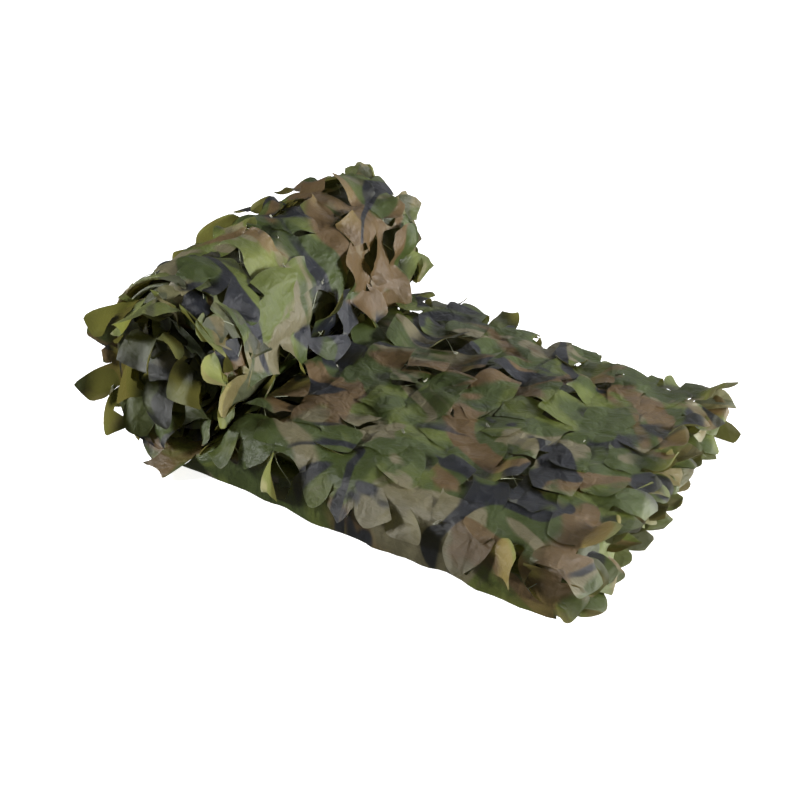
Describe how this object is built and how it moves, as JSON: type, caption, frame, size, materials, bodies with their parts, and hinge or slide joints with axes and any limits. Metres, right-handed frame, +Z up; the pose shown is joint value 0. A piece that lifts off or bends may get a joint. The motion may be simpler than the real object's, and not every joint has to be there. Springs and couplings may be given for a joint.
{
  "type": "camouflage net",
  "caption": "Leaf-cut camouflage net folded lengthwise into a strip of layers and half rolled up, with curled leaves standing out of its faces, sides and end.",
  "frame": {"origin": "centre of the whole net's bounding box, on the ground", "axes": "+X along the folded strip, from the roll to the loose end; +Y across the strip, away from the side where the outermost layer comes down to the ground; +Z up"},
  "size_m": [0.8464, 0.5875, 0.315],
  "materials": {
    "cloth": "woven polyester printed in greens, brown, khaki grey and near-black, matt with a slight satin"
  },
  "bodies": {
    "root": {"net": "cloth"}
  },
  "joints": []
}
